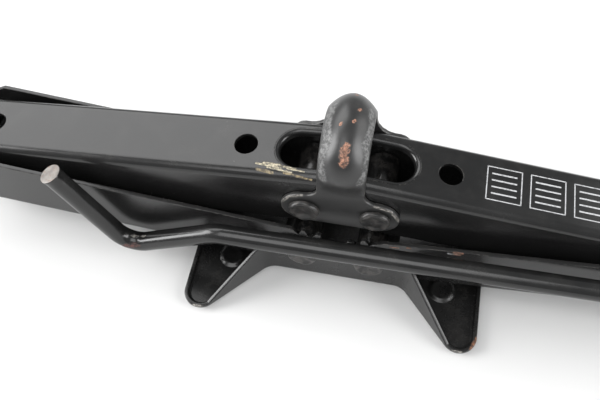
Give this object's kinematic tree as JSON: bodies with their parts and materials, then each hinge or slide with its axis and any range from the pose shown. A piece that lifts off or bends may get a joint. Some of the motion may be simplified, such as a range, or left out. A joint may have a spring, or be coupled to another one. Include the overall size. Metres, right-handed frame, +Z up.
{
  "type": "scissor jack",
  "caption": "Folded scissor jack with geared pressed-steel arms, splayed foot, saddle strap and folding crank rod.",
  "frame": {"origin": "on the ground under the middle of the foot", "axes": "+X along the screw towards the crank's hinge, -Y towards the folded crank rod, +Z up"},
  "size_m": [0.5601, 0.136, 0.1266],
  "materials": {
    "black_paint": "satin black enamel, worn at edges",
    "rod_paint": "satin black enamel",
    "rivet_steel": "thin worn black paint over steel",
    "bare_steel": "oiled bare steel",
    "screw_steel": "greased bare steel"
  },
  "bodies": {
    "base": {"base_foot": "black_paint", "base_pin_left": "rivet_steel", "base_pin_right": "rivet_steel", "base_spacer_left": "bare_steel", "base_spacer_right": "bare_steel"},
    "lower_arm_right": {"lower_arm_right": "black_paint"},
    "lower_arm_left": {"lower_arm_left": "black_paint"},
    "trunnion_right": {"trunnion_bearing": "bare_steel", "trunnion_ring_right_front": "bare_steel", "trunnion_ring_right_back": "bare_steel", "trunnion_cap_right_front": "rivet_steel", "trunnion_cap_right_back": "rivet_steel", "thrust_washer": "bare_steel"},
    "trunnion_left": {"trunnion_nut": "bare_steel", "trunnion_ring_left_front": "bare_steel", "trunnion_ring_left_back": "bare_steel", "trunnion_cap_left_front": "rivet_steel", "trunnion_cap_left_back": "rivet_steel"},
    "upper_arm_right": {"upper_arm_right": "black_paint"},
    "upper_arm_left": {"upper_arm_left": "black_paint"},
    "head": {"head_saddle": "black_paint", "head_pin_left": "rivet_steel", "head_pin_right": "rivet_steel", "head_spacer_left": "bare_steel", "head_spacer_right": "bare_steel"},
    "screw": {"lead_screw": "screw_steel", "screw_end_stop": "bare_steel", "screw_collar": "bare_steel", "thrust_bearing": "bare_steel", "screw_yoke": "black_paint", "yoke_pin": "rivet_steel"},
    "handle": {"handle_rod": "rod_paint"}
  },
  "joints": [
    {"name": "lift", "type": "hinge", "parent": "base", "child": "lower_arm_right", "pos_m": [0.02, 0, 0.0263], "axis": [0, -1, 0], "range_deg": [0, 70]},
    {"name": "lower_arm_left_pivot", "type": "hinge", "parent": "base", "child": "lower_arm_left", "pos_m": [-0.02, 0, 0.0263], "axis": [0, -1, 0], "range_deg": [-70, 0]},
    {"name": "trunnion_right_pivot", "type": "hinge", "parent": "lower_arm_right", "child": "trunnion_right", "pos_m": [0.24414, 0, 0.04591], "axis": [0, -1, 0], "range_deg": [-70, 0]},
    {"name": "trunnion_left_pivot", "type": "hinge", "parent": "lower_arm_left", "child": "trunnion_left", "pos_m": [-0.24414, 0, 0.04591], "axis": [0, -1, 0], "range_deg": [0, 70]},
    {"name": "upper_arm_right_pivot", "type": "hinge", "parent": "lower_arm_right", "child": "upper_arm_right", "pos_m": [0.24414, 0, 0.04591], "axis": [0, -1, 0], "range_deg": [-140, 0]},
    {"name": "upper_arm_left_pivot", "type": "hinge", "parent": "lower_arm_left", "child": "upper_arm_left", "pos_m": [-0.24414, 0, 0.04591], "axis": [0, -1, 0], "range_deg": [0, 140]},
    {"name": "head_level", "type": "hinge", "parent": "upper_arm_left", "child": "head", "pos_m": [-0.02, 0, 0.06552], "axis": [0, -1, 0], "range_deg": [-70, 0]},
    {"name": "screw_turn", "type": "hinge", "parent": "trunnion_right", "child": "screw", "pos_m": [0.24414, 0, 0.04591], "axis": [-1, 0, 0], "range_deg": [-2, 8]},
    {"name": "handle_fold", "type": "hinge", "parent": "screw", "child": "handle", "pos_m": [0.28594, 0, 0.04591], "axis": [0, 0, 1], "range_deg": [0, 180]}
  ],
  "couplings": [
    {"joint": "lower_arm_left_pivot", "follows": "lift", "ratio": -1},
    {"joint": "trunnion_right_pivot", "follows": "lift", "ratio": -1},
    {"joint": "trunnion_left_pivot", "follows": "lift", "ratio": 1},
    {"joint": "upper_arm_right_pivot", "follows": "lift", "ratio": -2},
    {"joint": "upper_arm_left_pivot", "follows": "lift", "ratio": 2},
    {"joint": "head_level", "follows": "lift", "ratio": -1}
  ]
}
